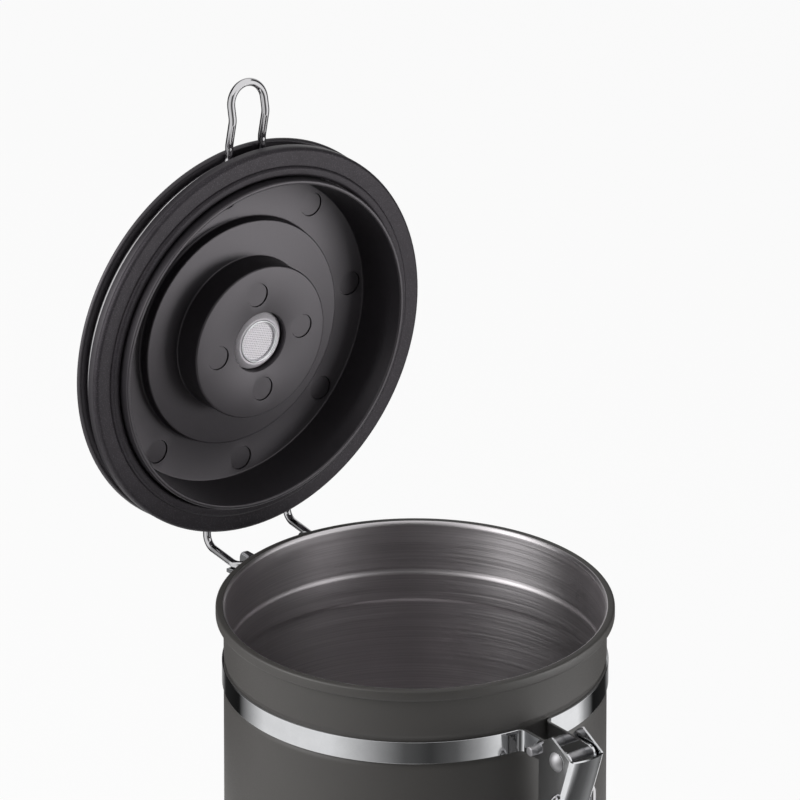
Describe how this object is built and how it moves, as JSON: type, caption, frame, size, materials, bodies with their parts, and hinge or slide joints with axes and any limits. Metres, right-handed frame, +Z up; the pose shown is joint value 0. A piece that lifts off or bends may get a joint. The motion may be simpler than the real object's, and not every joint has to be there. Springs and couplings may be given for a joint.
{
  "type": "coffee canister with valve",
  "caption": "Cylindrical steel food canister with a hinged, gasketed lid on a wire bail, a toggle latch, and a one-way gas valve in the lid.",
  "frame": {"origin": "centre of the base's underside, on the can's axis", "axes": "+Z up the can's axis, -Y to the latch, +Y to the hinge; the lid is stored standing open"},
  "size_m": [0.1298, 0.1867, 0.3157],
  "materials": {
    "can_paint": "matt warm dark grey powder coat outside, brushed steel inside",
    "base_steel": "pressed sheet steel",
    "chrome_strap": "bright plated strap",
    "chrome_pin": "bright plated",
    "chrome_stamping": "bright plated sheet",
    "chrome_wire": "bright plated drawn wire",
    "lid_plastic": "black moulded plastic with a fine texture",
    "seal_rubber": "matt black",
    "valve_plastic": "light grey moulded plastic",
    "membrane_rubber": "translucent pale grey",
    "filter_steel": "perforated thin sheet",
    "chrome_ring": "bright"
  },
  "bodies": {
    "can": {"can_body": "can_paint", "base_plate": "base_steel", "neck_band": "chrome_strap", "clamp_pin": "chrome_pin", "lever_rivet": "chrome_pin", "hinge_bracket": "chrome_stamping"},
    "lid": {"bail_wire": "chrome_wire", "lid_cover": "lid_plastic", "lid_plug": "lid_plastic", "lid_gasket": "seal_rubber", "valve_housing": "valve_plastic", "valve_cap": "valve_plastic", "valve_filter": "filter_steel", "filter_ring": "chrome_ring"},
    "lever": {"latch_lever": "chrome_stamping"},
    "link": {"closing_link": "chrome_wire"},
    "valve_disc": {"valve_membrane": "membrane_rubber"}
  },
  "joints": [
    {"name": "lid_hinge", "type": "hinge", "parent": "can", "child": "lid", "pos_m": [0, 0.071, 0.1557], "axis": [1, 0, 0], "range_deg": [0, 90]},
    {"name": "lever_pivot", "type": "hinge", "parent": "can", "child": "lever", "pos_m": [0, -0.08, 0.14255], "axis": [-1, 0, 0], "range_deg": [-8, 110]},
    {"name": "link_pivot", "type": "hinge", "parent": "lever", "child": "link", "pos_m": [0, -0.08, 0.13015], "axis": [-1, 0, 0], "range_deg": [-12, 80]},
    {"name": "valve_lift", "type": "slide", "parent": "lid", "child": "valve_disc", "axis": [0, 1, 0], "range_m": [0, 0.0006]}
  ]
}
